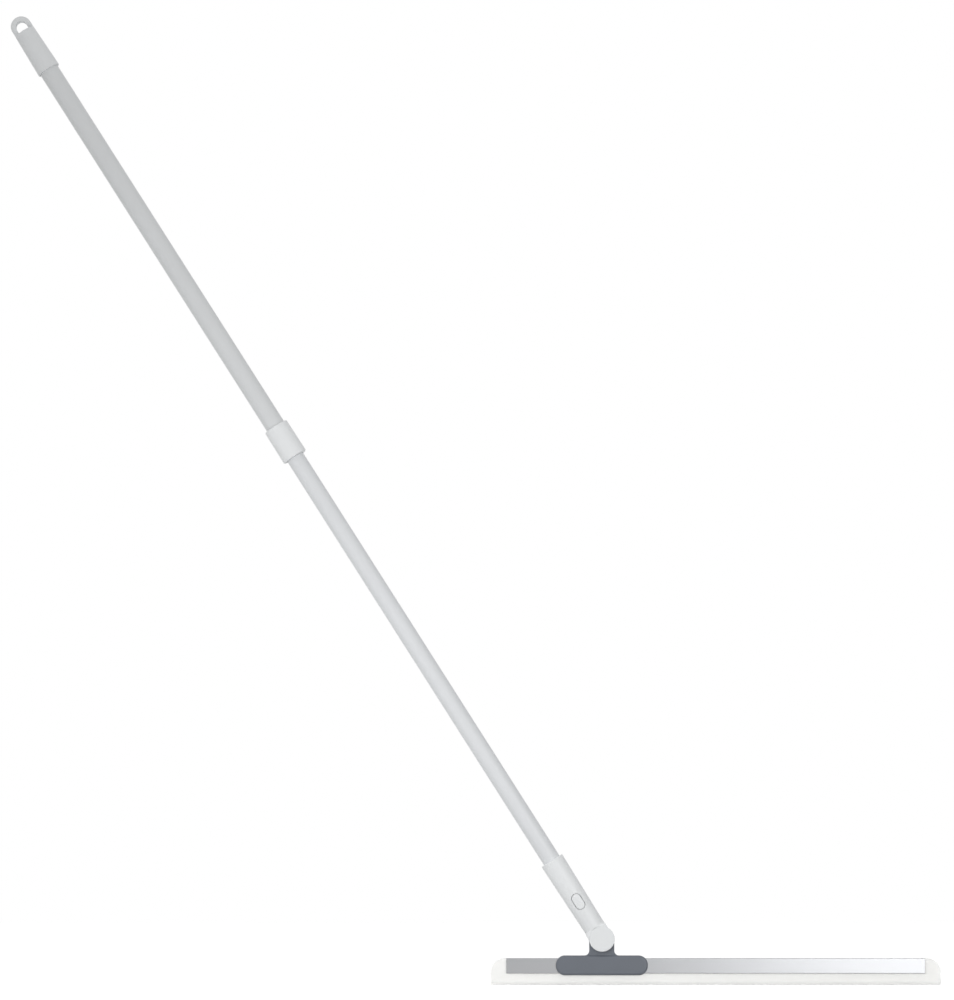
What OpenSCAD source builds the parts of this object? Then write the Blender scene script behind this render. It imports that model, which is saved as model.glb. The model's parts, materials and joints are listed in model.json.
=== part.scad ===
// Floor squeegee: a silicone blade in an aluminium rail, a carriage that slides along the rail,
// a tilting knuckle, a snap-in socket and a telescopic pole with a hanging loop.
// X runs along the blade, Y points to the back, Z is up. Millimetres.
// The origin is the middle of the blade's working edge.

/* [Blade] */
// Length of the silicone blade along the floor
blade_len = 490; // [400:1:700]
// Height of the blade from its working edge to its top
blade_h = 28.8; // [24:0.2:40]
// Thickness of the blade's web and of its end lobes
blade_t = 4; // [3:0.1:5]
// Width of the flat working edge
blade_edge_t = 1.6; // [0.8:0.1:2.4]
// Height of the bevel above the working edge
blade_bevel_h = 3.4; // [2:0.1:6]
// Radius of the blade's upper corners
blade_corner_r = 15; // [4:0.5:20]
// How far the retaining bead stands out on each side of the web
blade_bead = 0.9; // [0.5:0.1:1.2]

/* [Rail] */
// Length of blade that stands past each end of the rail
rail_inset = 17; // [12:0.5:30]
// Height of the rail, whose top is flush with the blade's top
rail_h = 16.5; // [13:0.5:18]
// Wall thickness of the rail
rail_wall = 1.5; // [1.2:0.1:2.5]
// Radius of the rail's outer edges
rail_edge_r = 0.6; // [0.3:0.1:0.8]

/* [Carriage] */
// Length of the carriage along the rail
carriage_len = 100; // [60:1:160]
// Wall of the carriage in front of and behind the rail
carriage_wall = 2.6; // [2:0.1:4]
// Wall of the carriage above the rail
carriage_roof = 2.7; // [2:0.1:5]
// Thickness of the hooks under the rail
hook_t = 1.6; // [1.2:0.1:3]
// Corner radius of the carriage seen from the front
carriage_corner_r = 9.8; // [5:0.2:10.4]
// Radius of the carriage's front and rear edges
carriage_edge_r = 2.5; // [0.8:0.1:2.6]
// Length of rail that shows to the left of the carriage
carriage_inset = 54; // [5:1:300]
// Thickness of the glide liners between the carriage and the rail
liner_t = 0.8; // [0.5:0.1:1.2]
// Height of the glide liners
liner_h = 13; // [6:0.5:14]
// Diameter of the pegs that hold the liners
liner_peg_d = 3; // [2:0.1:4]

/* [Neck and knuckle] */
// Height of the pivot above the top of the carriage
pivot_rise = 18; // [16:0.1:26]
// Width of the neck
neck_w = 27.2; // [22:0.1:28]
// Thickness of the neck, from front to back
neck_t = 9; // [7:0.1:11]
// Radius of the fillets at the foot of the neck
neck_fillet = 5.2; // [1:0.1:5.4]
// Radius of the fork's round cheeks
knuckle_r = 13.85; // [13:0.05:15]
// Thickness of each fork cheek
cheek_t = 4.8; // [4.2:0.1:6]
// Thickness of the cap over each cheek
knuckle_cap_t = 1.6; // [1.2:0.1:2.5]
// Radius of the small fillets between the cheeks and the socket
fork_fillet = 3; // [1:0.1:4]
// How far the fork's flat sides stand out past the round socket
fork_lip = 0.4; // [0.2:0.1:0.8]
// Thickness of the friction washers
washer_t = 0.6; // [0.4:0.1:1.2]
// Diameter of the friction washers
washer_d = 22; // [16:0.5:24]
// Diameter of the pivot bolt
bolt_d = 6; // [5:0.1:7]
// Diameter of the bolt's head
bolt_head_d = 10; // [9:0.1:11]
// Height of the bolt's head
bolt_head_h = 2.2; // [1.5:0.1:2.4]
// Width of the nut across its flats
nut_af = 10; // [9:0.1:10]
// Height of the nut
nut_h = 2; // [1.5:0.1:2.2]
// Thickness of the spring washer's sheet
spring_washer_t = 0.4; // [0.3:0.05:0.5]
// Wall of the pivot bush
bush_wall = 1.5; // [1:0.1:2]

/* [Socket] */
// Distance from the pivot to the socket's rim
socket_len = 101; // [85:1:140]
// Wall of the socket at its rim
socket_rim_wall = 3.2; // [1.6:0.05:4]
// Wall that the socket's taper would leave where it meets the fork
socket_root_wall = 1.85; // [0.9:0.05:2]
// Radius of the socket's rim edge
socket_edge_r = 0.9; // [0.3:0.1:1.1]
// Solid floor between the fork's slot and the end of the tube
socket_floor = 17; // [12:0.5:24]

/* [Latch button] */
// Distance from the pivot to the middle of the button
button_s = 48; // [46:0.5:56]
// Length of the button along the pole
button_len = 17.8; // [14:0.1:20]
// Width of the button across the pole
button_w = 10; // [8:0.1:12]
// How far the button stands out of the socket
button_proud = 0.4; // [0:0.1:1]
// Travel of the button when it is pressed
button_travel = 2.6; // [2:0.1:3]
// Length of the tongues that keep the button inside the tube
button_tongue = 2.6; // [1.5:0.1:3]
// Thickness of those tongues
tongue_h = 1.5; // [1.2:0.1:1.8]
// Gap round the button in the socket's window
button_gap = 0.5; // [0.3:0.1:1]
// Mean diameter of the button's spring
spring_d = 6; // [4:0.1:6.4]
// Wire diameter of the button's spring
spring_wire = 0.6; // [0.4:0.05:0.8]
// Turns of the button's spring
spring_turns = 6; // [4:1:8]

/* [Pole] */
// Lean of the pole from the vertical, in degrees
lean = 32.5; // [0:0.5:60]
// Outer diameter of the lower tube
lower_d = 20; // [19:0.1:20.6]
// Outer diameter of the upper tube
upper_d = 22; // [21.5:0.1:25]
// Wall of both tubes
tube_wall = 0.5; // [0.4:0.05:0.7]
// Length of lower tube that shows between the socket and the collar
lower_shown = 525.4; // [420:0.2:700]
// Length of upper tube that shows between the collar and the end cap
upper_shown = 473; // [380:0.2:700]
// Length of lower tube inside the upper tube
tube_overlap = 114; // [60:1:160]
// Length of the plug in the lower end of the lower tube
plug_len = 46; // [44:1:60]
// Diameter of the cross pin that holds that plug
plug_pin_d = 3; // [2:0.1:4]
// Length of the guide plug's stem inside the lower tube
guide_stem = 20; // [10:1:40]
// Length of the guide plug's running head
guide_head = 7; // [4:0.5:12]
// Wall of the guide plug
guide_wall = 2; // [1.2:0.1:4]

/* [Lock collar] */
// Length of the lock collar
collar_len = 40; // [34:0.2:60]
// Wall of the collar at its upper end
collar_wall = 1.8; // [1:0.02:3]
// How much the collar's radius grows towards its lower end
collar_flare = 0.3; // [0:0.05:1.5]
// Radius of the collar's upper edge, and half the depth of its mouth
collar_edge_r = 1.1; // [0.4:0.1:1.2]
// Radius of the collar's round nose at its lower end
collar_nose_r = 1.3; // [0.4:0.1:2.4]
// Length of the collar below the end of the upper tube
collar_tail = 14.4; // [12:0.2:20]
// Wall of the threaded sleeve on the upper tube
sleeve_wall = 1; // [0.8:0.05:1.1]
// Depth of the sleeve's top inside the collar
sleeve_recess = 1.4; // [0.5:0.1:3]
// Width of the slots between the collet's fingers
collet_slot = 1.4; // [0.8:0.1:2]
// Slots across the collet
collet_slots = 3; // [2:1:4]

/* [End cap] */
// Length of the end cap from its rim to the top of its loop
cap_len = 70; // [62:0.5:90]
// Wall of the cap's skirt at its rim
skirt_wall = 2; // [1:0.05:2.5]
// Radius of the round edge where the cap's body ends below the loop
cap_edge_r = 0.9; // [0.4:0.1:1.5]
// Thickness of the body's closed end
cap_roof = 5; // [3:0.5:12]
// Width of the hanging loop
loop_w = 23.2; // [18:0.1:25]
// Thickness of the hanging loop, from front to back
loop_t = 9; // [6:0.5:12]
// Radius of the loop's front and rear edges
loop_edge_r = 2.8; // [0.5:0.1:2.9]
// Width of the hanging hole
hole_w = 12.4; // [9:0.1:14]
// Height of the hanging hole
hole_h = 12.4; // [9:0.1:14]
// Wall of the loop above the hole
loop_wall = 6.1; // [4:0.1:7]
// Radius of the hole's lower corners
hole_corner_r = 0.8; // [0.5:0.1:2]
// Depth of the tube inside the cap's skirt
cap_grip = 8; // [5:0.5:10]
// Length of the cap's spigot inside the tube, below the rim
spigot_len = 18; // [10:0.5:30]
// Wall of the cap's spigot
spigot_wall = 2; // [1.2:0.1:4]

/* [Clearances] */
// Gap between the rail and the liners, and other flat sliding faces
slide_gap = 0.1; // [0.05:0.01:0.15]
// Gap above and below the rail inside the carriage
carriage_gap = 0.3; // [0.2:0.05:0.5]
// Gap on each side of the blade between the hooks
hook_gap = 0.5; // [0.3:0.05:0.8]
// Gap between pieces that are seated in each other
seat_gap = 0.05; // [0.02:0.01:0.08]
// Gap between the fork's slot and the round top of the neck
swing_gap = 0.55; // [0.4:0.05:1]
// Radial gap of running fits
run_gap = 0.08; // [0.03:0.01:0.1]
// Gap round the button inside the tube and its plug
latch_gap = 0.3; // [0.2:0.05:0.5]
// Gap between the collar's cone and the collet
cone_gap = 0.35; // [0.3:0.05:0.5]

/* [Hidden] */
$fn = 96;

// Colours
white_plastic = [0.88, 0.89, 0.89];
cap_plastic = [0.76, 0.78, 0.78];
slate_plastic = [0.42, 0.44, 0.47];
tube_paint = [0.83, 0.85, 0.85];
rail_metal = [0.76, 0.77, 0.78];
silicone = [0.95, 0.96, 0.95];
steel = [0.62, 0.63, 0.65];
nylon = [0.9, 0.89, 0.85];

// Overshoot of cutting shapes past the faces they cut
over = 1;

// Heights and widths of the head
rail_len = blade_len - 2 * rail_inset;
carriage_x = carriage_inset + carriage_len / 2 - rail_len / 2;
rail_z0 = blade_h - rail_h;
bead_half = blade_t / 2 + blade_bead;
cavity_half = bead_half + seat_gap;
rail_depth = 2 * (cavity_half + rail_wall);
slot_half = rail_depth / 2 + slide_gap + liner_t;
carriage_depth = 2 * (slot_half + carriage_wall);
carriage_z0 = rail_z0 - carriage_gap - hook_t;
carriage_z1 = blade_h + carriage_gap + carriage_roof;
carriage_h = carriage_z1 - carriage_z0;
carriage_corner = min(carriage_corner_r, carriage_h / 2 - slide_gap);
carriage_edge = min(carriage_edge_r, carriage_wall - slide_gap);
liner_z = (rail_z0 + blade_h) / 2;
liner_len = carriage_len - 2 * carriage_corner;
liner_peg_h = carriage_wall / 2;

// Knuckle, from the middle plane outwards
pivot_z = carriage_z1 + pivot_rise;
fork_half = neck_t / 2 + washer_t + 2 * seat_gap;
cheek_out = fork_half + cheek_t;
recess_depth = bolt_head_h + knuckle_cap_t / 2;
recess_floor = cheek_out - recess_depth;
recess_r = max(bolt_head_d, nut_af / cos(30)) / 2 + bush_wall / 2;
cap_ring_wall = bush_wall / 2 - 4 * seat_gap;
cap_edge = knuckle_cap_t / 3;
bush_r = bolt_d / 2 + bush_wall;
spring_washer_h = recess_depth - nut_h - seat_gap;

// Places along the pole, measured from the pivot
fork_s = neck_w / 2 + swing_gap;
tube_seat_s = fork_s + socket_floor;
collar_s0 = socket_len + lower_shown;
collar_s1 = collar_s0 + collar_len;
upper_s0 = collar_s0 + collar_tail;
cap_s0 = collar_s1 + upper_shown;
cap_s1 = cap_s0 + cap_len;
upper_s1 = cap_s0 + cap_grip;
lower_s1 = upper_s0 + tube_overlap;
// The cheeks' shoulders are turned down to the round socket from this share of the fork's depth
shoulder_share = 0.7;
shoulder_s = fork_s * shoulder_share;
// They run into the socket's wall up to this share of its floor
flare_share = 0.1;
flare_s = fork_s + socket_floor * flare_share;

// Radii along the pole
lower_r = lower_d / 2;
lower_in_r = lower_r - tube_wall;
upper_r = upper_d / 2;
upper_in_r = upper_r - tube_wall;
sleeve_r = upper_r + seat_gap + sleeve_wall;
nut_bore_r = sleeve_r + run_gap;
collar_top_r = nut_bore_r + collar_wall;
collar_low_r = collar_top_r + collar_flare;
collet_tip_r = lower_r + run_gap + sleeve_wall;
// The slots between the collet's fingers reach up this share of its cone
finger_share = 0.8;
exit_r = lower_r + cone_gap;
socket_bore_r = lower_r + seat_gap;
socket_slope = (socket_rim_wall - socket_root_wall) / (socket_len - fork_s);
function socket_r(s) = socket_bore_r + socket_root_wall + socket_slope * (s - fork_s);
fork_side = socket_r(fork_s) + fork_lip;
rim_r = upper_r + seat_gap + skirt_wall;

// Latch button, heights measured from the pole's axis towards the front
button_top = socket_r(button_s) + button_proud;
tongue_half = button_w / 3;
tongue_top = sqrt(pow(lower_in_r, 2) - pow(tongue_half, 2)) - latch_gap;
button_foot = tongue_top - 2 * tongue_h;
pocket_floor = button_foot - button_travel - latch_gap;
spring_floor = -(lower_in_r - seat_gap - spring_wire * 4);
spring_seat = button_foot + tongue_h;
pin_s = tube_seat_s + plug_len - plug_pin_d * 2;

// End cap
loop_r = loop_w / 2;
loop_s = cap_s1 - loop_r;
hole_top_s = cap_s1 - loop_wall;
hole_s0 = hole_top_s - hole_h;
body_top_r = norm([loop_r, loop_t / 2 - loop_edge_r]) + seat_gap;
cap_bore_r = upper_in_r - seat_gap - spigot_wall;

// Frames and small shapes

// Stands children on the pole: local Z runs up the pole from the pivot
module pole_frame() {
    translate([carriage_x, 0, pivot_z])
        rotate([0, -lean, 0])
            children();
}

// Turns children to the latch: local Z points to the front, local Y runs up the pole
module latch_frame() {
    pole_frame()
        translate([0, 0, button_s])
            rotate([90, 0, 0])
                children();
}

// Puts children at the pivot: local Z points to the back
module pivot_frame() {
    translate([carriage_x, 0, pivot_z])
        rotate([-90, 0, 0])
            children();
}

// Extrudes a section with Y and Z axes along the rail
module along_x(len) {
    rotate([90, 0, 90])
        linear_extrude(height = len, center = true)
            children();
}

// Extrudes an outline with X and Z axes from front to back
module along_y(depth) {
    rotate([90, 0, 0])
        linear_extrude(height = depth, center = true)
            children();
}

// Rectangle with round corners, centred
module soft_rect(w, h, r) {
    square([w - 2 * r, h], center = true);
    square([w, h - 2 * r], center = true);
    for (x = [-1, 1], y = [-1, 1])
        translate([x * (w / 2 - r), y * (h / 2 - r)])
            circle(r = r);
}

// Slot shape with round ends, long along Y
module stadium(len, w) {
    square([w, len - w], center = true);
    for (y = [-1, 1])
        translate([0, y * (len - w) / 2])
            circle(d = w);
}

// Half section of a tapered turned piece with round edges, standing on Y = 0
module soft_taper(r_low, r_top, len, edge_low, edge_top) {
    polygon([
        [0, 0], [r_low - edge_low, 0], [r_low, edge_low],
        [r_top, len - edge_top], [r_top - edge_top, len], [0, len]
    ]);
    if (edge_low > 0)
        translate([r_low - edge_low, edge_low])
            circle(r = edge_low);
    if (edge_top > 0)
        translate([r_top - edge_top, len - edge_top])
            circle(r = edge_top);
}

// Flat ring from z0 to z1
module ring(r_out, r_in, z0, z1) {
    translate([0, 0, z0])
        difference() {
            cylinder(r = r_out, h = z1 - z0);
            translate([0, 0, -over])
                cylinder(r = r_in, h = z1 - z0 + 2 * over);
        }
}

// Slab with round corners and round front and rear edges, thick along Y
module soft_slab(len, h, depth, corner, edge) {
    for (x = [-1, 1], z = [-1, 1])
        translate([x * (len / 2 - corner), 0, z * (h / 2 - corner)])
            rotate([90, 0, 0])
                rotate_extrude()
                    intersection() {
                        soft_rect(2 * corner, depth, edge);
                        translate([0, -depth])
                            square([corner, 2 * depth]);
                    }
    along_x(len - 2 * corner)
        soft_rect(depth, h, edge);
    linear_extrude(height = h - 2 * corner, center = true)
        soft_rect(len, depth, edge);
}

// Head: blade and rail

// Section of the blade's strip: a web on a bevelled working edge
module blade_section() {
    half = blade_t / 2;
    edge = blade_edge_t / 2;
    polygon([
        [-edge, 0], [edge, 0], [half, blade_bevel_h],
        [half, blade_h], [-half, blade_h], [-half, blade_bevel_h]
    ]);
}

// Front outline of the blade with its round upper corners
module blade_outline() {
    translate([-blade_len / 2, 0])
        square([blade_len, blade_h - blade_corner_r]);
    translate([-blade_len / 2 + blade_corner_r, 0])
        square([blade_len - 2 * blade_corner_r, blade_h]);
    for (x = [-1, 1])
        translate([x * (blade_len / 2 - blade_corner_r), blade_h - blade_corner_r])
            circle(r = blade_corner_r);
}

// Silicone strip: full height past the rail, a bead inside it
module blade() {
    bead_z0 = rail_z0 + rail_wall + seat_gap;
    bead_z1 = blade_h - rail_wall - seat_gap;
    color(silicone) {
        difference() {
            intersection() {
                along_x(blade_len)
                    blade_section();
                along_y(2 * blade_t)
                    blade_outline();
            }
            translate([-rail_len / 2 - seat_gap, -blade_t, bead_z1])
                cube([rail_len + 2 * seat_gap, 2 * blade_t, blade_h]);
        }
        translate([0, 0, (bead_z0 + bead_z1) / 2])
            along_x(rail_len - 2 * rail_wall)
                soft_rect(2 * bead_half, bead_z1 - bead_z0, blade_bead / 2);
    }
}

// Extruded channel whose bottom lips hold the bead
module rail() {
    lip_half = blade_t / 2 + seat_gap;
    color(rail_metal)
        along_x(rail_len)
            difference() {
                translate([0, rail_z0 + rail_h / 2])
                    soft_rect(rail_depth, rail_h, rail_edge_r);
                translate([-cavity_half, rail_z0 + rail_wall])
                    square([2 * cavity_half, rail_h - 2 * rail_wall]);
                translate([-lip_half, rail_z0 - over])
                    square([2 * lip_half, rail_wall + 2 * over]);
            }
}

// Carriage

// Front outline of the neck: round top, upright sides, hollow fillets at its foot
module neck_outline() {
    foot = carriage_z1 - pivot_z;
    half = neck_w / 2;
    circle(r = half);
    translate([-half, foot - carriage_roof])
        square([neck_w, carriage_roof - foot]);
    difference() {
        translate([-half - neck_fillet, foot - carriage_roof / 2])
            square([neck_w + 2 * neck_fillet, neck_fillet + carriage_roof / 2]);
        for (x = [-1, 1])
            translate([x * (half + neck_fillet), foot + neck_fillet])
                circle(r = neck_fillet);
    }
}

// Places children at the peg of each liner end, local Z pointing outwards
module liner_pegs() {
    for (side = [-1, 1], x = [-1, 1])
        translate([carriage_x + x * (liner_len / 2 - liner_peg_d * 2), side * slot_half, liner_z])
            rotate([-side * 90, 0, 0])
                children();
}

// Moulded carriage: a soft slab that hooks round the rail, with the neck of the knuckle
module carriage() {
    gap_half = blade_t / 2 + hook_gap;
    color(slate_plastic)
        difference() {
            union() {
                translate([carriage_x, 0, (carriage_z0 + carriage_z1) / 2])
                    soft_slab(carriage_len, carriage_h, carriage_depth, carriage_corner, carriage_edge);
                translate([carriage_x, 0, pivot_z])
                    along_y(neck_t)
                        neck_outline();
            }
            translate([carriage_x - carriage_len, -slot_half, rail_z0 - carriage_gap])
                cube([2 * carriage_len, 2 * slot_half, rail_h + 2 * carriage_gap]);
            translate([carriage_x - carriage_len, -gap_half, carriage_z0 - over])
                cube([2 * carriage_len, 2 * gap_half, hook_t + 2 * over]);
            liner_pegs()
                translate([0, 0, -over])
                    cylinder(d = liner_peg_d + 2 * seat_gap, h = liner_peg_h + over + seat_gap);
            pivot_frame()
                cylinder(r = bush_r + seat_gap, h = neck_t + 2 * over, center = true);
        }
}

// Two slippery strips on pegs between the carriage and the rail
module glide_liners() {
    strip_t = liner_t - seat_gap;
    color(nylon)
        union() {
            for (side = [-1, 1])
                translate([carriage_x, side * (slot_half - liner_t + strip_t / 2), liner_z])
                    along_y(strip_t)
                        soft_rect(liner_len, liner_h, liner_peg_d / 2);
            liner_pegs()
                translate([0, 0, -liner_t / 2])
                    cylinder(d = liner_peg_d, h = liner_t / 2 + liner_peg_h);
        }
}

// Plain bearing bush in the neck
module pivot_bush() {
    color(nylon)
        pivot_frame()
            ring(bush_r, bolt_d / 2 + run_gap, -neck_t / 2, neck_t / 2);
}

// Knuckle and socket

// Front outline of the fork: round cheeks that run into the socket through small fillets
module fork_outline() {
    fillet_x = fork_side + fork_fillet;
    fillet_s = sqrt(pow(knuckle_r + fork_fillet, 2) - pow(fillet_x, 2));
    touch = knuckle_r / (knuckle_r + fork_fillet);
    circle(r = knuckle_r);
    translate([-fork_side, 0])
        square([2 * fork_side, flare_s]);
    for (x = [-1, 1])
        difference() {
            polygon([
                [0, 0], [x * fillet_x * touch, fillet_s * touch],
                [x * fillet_x, fillet_s], [0, fillet_s]
            ]);
            translate([x * fillet_x, fillet_s])
                circle(r = fork_fillet);
        }
}

// Fork of the knuckle: flat cheeks whose shoulders are turned down to the round socket
module fork() {
    flare_r = norm([fork_side, cheek_out]) + fork_fillet / 2;
    intersection() {
        along_y(2 * cheek_out)
            fork_outline();
        rotate_extrude()
            polygon([
                [0, -knuckle_r - over], [flare_r, -knuckle_r - over], [flare_r, shoulder_s],
                [socket_bore_r, flare_s], [0, flare_s]
            ]);
    }
}

// Moulded socket: fork below, bore for the lower tube above, window for the latch button
module knuckle_socket() {
    core_r = lower_in_r - guide_wall;
    color(white_plastic)
        difference() {
            pole_frame()
                difference() {
                    union() {
                        fork();
                        translate([0, 0, shoulder_s])
                            rotate_extrude()
                                intersection() {
                                    soft_taper(socket_r(shoulder_s), socket_r(socket_len),
                                        socket_len - shoulder_s, 0, socket_edge_r);
                                    square([2 * lower_d, socket_len]);
                                }
                    }
                    translate([0, 0, tube_seat_s - seat_gap])
                        cylinder(r = socket_bore_r, h = socket_len);
                    translate([0, 0, fork_s + socket_floor / 3])
                        cylinder(r = core_r, h = socket_floor);
                    translate([-2 * knuckle_r, -fork_half, -2 * knuckle_r])
                        cube([4 * knuckle_r, 2 * fork_half, 2 * knuckle_r + fork_s]);
                }
            latch_frame()
                linear_extrude(height = 2 * lower_d)
                    stadium(button_len + 2 * button_gap, button_w + 2 * button_gap);
            pivot_frame() {
                cylinder(r = bolt_d / 2 + seat_gap, h = 4 * knuckle_r, center = true);
                for (side = [0, 1])
                    mirror([0, 0, side]) {
                        translate([0, 0, recess_floor])
                            cylinder(r = recess_r, h = recess_depth + over);
                        translate([0, 0, cheek_out - seat_gap])
                            cylinder(r = knuckle_r + seat_gap, h = knuckle_r);
                    }
            }
        }
}

// Snap-in cap that covers one cheek, facing local +Z
module knuckle_cap() {
    ring(recess_r - seat_gap, recess_r - seat_gap - cap_ring_wall, cheek_out - knuckle_cap_t / 2, cheek_out);
    translate([0, 0, cheek_out])
        rotate_extrude()
            intersection() {
                soft_taper(knuckle_r, knuckle_r, knuckle_cap_t, 0, cap_edge);
                square([knuckle_r, knuckle_cap_t]);
            }
}

module front_cap() {
    color(white_plastic)
        pivot_frame()
            mirror([0, 0, 1])
                knuckle_cap();
}

module rear_cap() {
    color(white_plastic)
        pivot_frame()
            knuckle_cap();
}

// Pivot bolt with its head in the front cheek
module pivot_bolt() {
    color(steel)
        pivot_frame() {
            translate([0, 0, -recess_floor - bolt_head_h])
                cylinder(d = bolt_head_d, h = bolt_head_h);
            translate([0, 0, -recess_floor - bolt_head_h / 2])
                cylinder(d = bolt_d, h = recess_floor + bolt_head_h / 2 + cheek_out - knuckle_cap_t / 2);
        }
}

// Nut in the rear cheek
module pivot_nut() {
    color(steel)
        pivot_frame()
            translate([0, 0, cheek_out - nut_h])
                difference() {
                    cylinder(d = nut_af / cos(30), h = nut_h - seat_gap, $fn = 6);
                    translate([0, 0, -over])
                        cylinder(r = bolt_d / 2 + seat_gap, h = nut_h + 2 * over);
                }
}

// Dished spring washer under the nut
module spring_washer() {
    in_r = bolt_d / 2 + seat_gap;
    out_r = bolt_head_d / 2;
    rise = spring_washer_h - spring_washer_t;
    color(steel)
        pivot_frame()
            translate([0, 0, recess_floor])
                rotate_extrude()
                    polygon([
                        [in_r, rise], [out_r, 0],
                        [out_r, spring_washer_t], [in_r, rise + spring_washer_t]
                    ]);
}

// Friction washers between the neck and the cheeks
module friction_washers() {
    outer_face = fork_half - seat_gap;
    color(nylon)
        pivot_frame()
            for (side = [0, 1])
                mirror([0, 0, side])
                    ring(washer_d / 2, bush_r + seat_gap, outer_face - washer_t, outer_face);
}

// Lower pole

// Tube with the latch window and the holes for the cross pin
module lower_tube() {
    color(tube_paint)
        difference() {
            pole_frame()
                ring(lower_r, lower_in_r, tube_seat_s, lower_s1);
            latch_frame()
                linear_extrude(height = lower_d)
                    stadium(button_len + 2 * latch_gap, button_w + 2 * latch_gap);
            pole_frame()
                translate([0, 0, pin_s])
                    rotate([0, 90, 0])
                        cylinder(d = plug_pin_d + 2 * seat_gap, h = 2 * lower_d, center = true);
        }
}

// Outline of the button's foot with its two keeper tongues
module tongue_outline(gap) {
    square([2 * (tongue_half + gap), button_len + 2 * (button_tongue + gap)], center = true);
}

// Plug in the tube's end that carries the button and its spring
module tube_plug() {
    plug_r = lower_in_r - seat_gap;
    color(nylon)
        difference() {
            pole_frame()
                translate([0, 0, tube_seat_s])
                    cylinder(r = plug_r, h = plug_len);
            latch_frame() {
                translate([0, 0, pocket_floor])
                    linear_extrude(height = lower_d) {
                        stadium(button_len + 2 * latch_gap, button_w + 2 * latch_gap);
                        tongue_outline(latch_gap);
                    }
                translate([0, 0, spring_floor])
                    cylinder(d = spring_d + 2 * spring_wire + latch_gap, h = lower_d);
            }
            pole_frame()
                translate([0, 0, pin_s])
                    rotate([0, 90, 0])
                        cylinder(d = plug_pin_d + 2 * seat_gap, h = 2 * lower_d, center = true);
        }
}

// Cross pin through the tube and its plug
module plug_pin() {
    color(steel)
        pole_frame()
            translate([0, 0, pin_s])
                rotate([0, 90, 0])
                    cylinder(d = plug_pin_d, h = lower_d - tube_wall, center = true);
}

// Oval push button, crowned like the socket, with keeper tongues inside the tube
module latch_button() {
    spring_hole_d = spring_d + 2 * spring_wire + latch_gap;
    color(white_plastic)
        latch_frame()
            difference() {
                union() {
                    intersection() {
                        translate([0, 0, button_foot])
                            linear_extrude(height = lower_d)
                                stadium(button_len, button_w);
                        rotate([90, 0, 0])
                            cylinder(r = button_top, h = 2 * button_len, center = true);
                    }
                    translate([0, 0, tongue_top - tongue_h])
                        linear_extrude(height = tongue_h)
                            tongue_outline(0);
                }
                translate([0, 0, button_foot - over])
                    cylinder(d = spring_hole_d, h = spring_seat - button_foot + over);
            }
}

// Button spring, one unbroken round wire
ring_steps = 8;
wire_sides = 6;
spring_z0 = spring_floor + spring_wire / 2 + seat_gap;
spring_z1 = spring_seat - spring_wire / 2 - seat_gap;
spring_rings = spring_turns * ring_steps;
function spring_point(i) = [
    spring_d / 2 * cos(360 * i / ring_steps),
    spring_d / 2 * sin(360 * i / ring_steps),
    spring_z0 + (spring_z1 - spring_z0) * i / spring_rings
];
function wire_point(i, k) = let (turn = 360 * i / ring_steps, a = 360 * k / wire_sides)
    spring_point(i) + spring_wire / 2 * [cos(a) * cos(turn), cos(a) * sin(turn), sin(a)];
wire_points = [for (i = [0:spring_rings]) for (k = [0:wire_sides - 1]) wire_point(i, k)];
function wire_index(i, k) = i * wire_sides + k % wire_sides;
wire_faces = concat(
    [for (i = [0:spring_rings - 1]) for (k = [0:wire_sides - 1])
        [wire_index(i, k), wire_index(i + 1, k), wire_index(i + 1, k + 1)]],
    [for (i = [0:spring_rings - 1]) for (k = [0:wire_sides - 1])
        [wire_index(i, k), wire_index(i + 1, k + 1), wire_index(i, k + 1)]],
    [for (k = [1:wire_sides - 2]) [0, k, k + 1]],
    [for (k = [1:wire_sides - 2])
        [wire_index(spring_rings, 0), wire_index(spring_rings, k + 1), wire_index(spring_rings, k)]]
);
// Least gap of the wire to its own next turns, measured between centre points half a turn or more apart
spring_gap = min([for (i = [0:spring_rings]) for (j = [i + ring_steps / 2:1:spring_rings])
    norm(spring_point(i) - spring_point(j))]) - spring_wire;
echo(button_spring_least_gap = spring_gap);

module button_spring() {
    color(steel)
        latch_frame()
            polyhedron(points = wire_points, faces = wire_faces);
}

// Plug at the top of the lower tube that guides it inside the upper tube
module guide_plug() {
    stem_r = lower_in_r - seat_gap;
    color(nylon)
        pole_frame()
            difference() {
                union() {
                    translate([0, 0, lower_s1 - guide_stem])
                        cylinder(r = stem_r, h = guide_stem + over);
                    translate([0, 0, lower_s1])
                        rotate_extrude()
                            intersection() {
                                soft_taper(upper_in_r - run_gap, upper_in_r - run_gap, guide_head,
                                    0, guide_wall / 2);
                                square([upper_r, guide_head]);
                            }
                }
                translate([0, 0, lower_s1 - guide_stem - over])
                    cylinder(r = stem_r - guide_wall, h = guide_stem + guide_head + 2 * over);
            }
}

// Upper pole

module upper_tube() {
    color(tube_paint)
        pole_frame()
            ring(upper_r, upper_in_r, upper_s0, upper_s1);
}

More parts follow.
